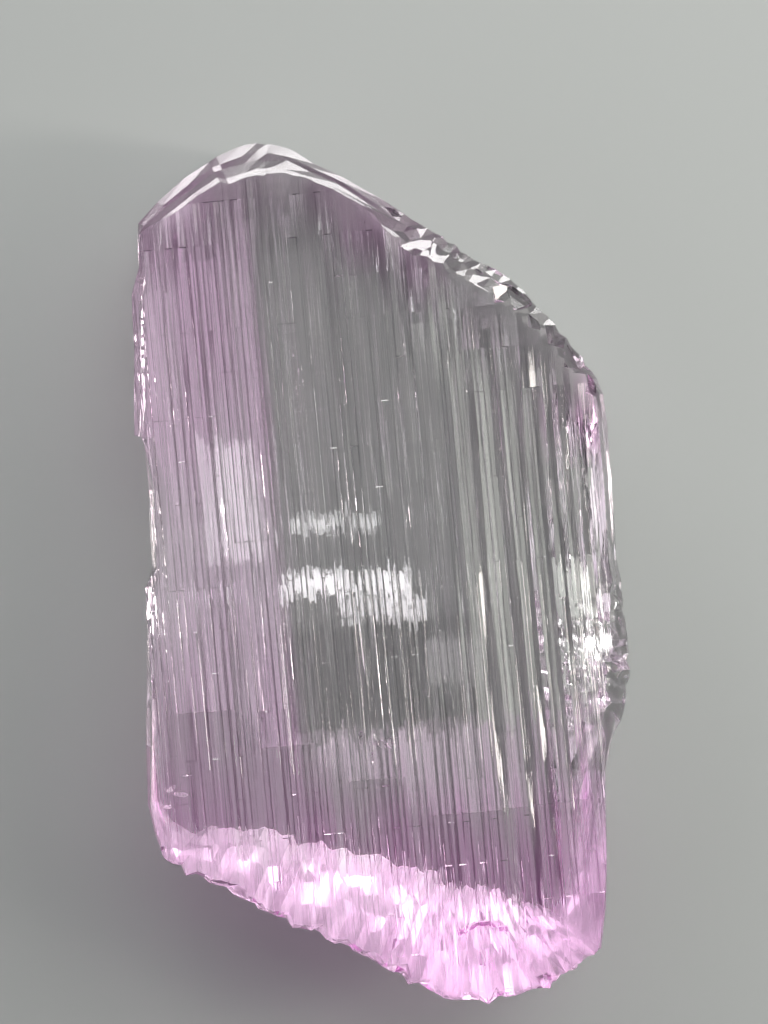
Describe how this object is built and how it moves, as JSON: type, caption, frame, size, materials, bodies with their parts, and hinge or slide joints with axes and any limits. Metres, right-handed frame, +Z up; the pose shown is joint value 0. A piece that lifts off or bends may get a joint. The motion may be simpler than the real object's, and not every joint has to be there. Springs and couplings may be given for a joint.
{
  "type": "kunzite crystal",
  "caption": "Rough kunzite crystal: a flat, lengthwise-striated transparent prism with a sloping termination and a broken base, resting on its back face as a mineral display piece.",
  "frame": {"origin": "on the resting plane, under the centre of the crystal's bounding box", "axes": "+Y along the crystal's long axis (crystallographic c) towards the sloping termination, +X across its width, +Z up out of the front broad face; it lies on its back broad face"},
  "size_m": [0.0474, 0.0828, 0.015],
  "materials": {
    "kunzite": "clear natural crystal, pale lilac pink, bright on the striated growth faces and frosty on the broken ones"
  },
  "bodies": {
    "root": {"kunzite_crystal": "kunzite"}
  },
  "joints": []
}
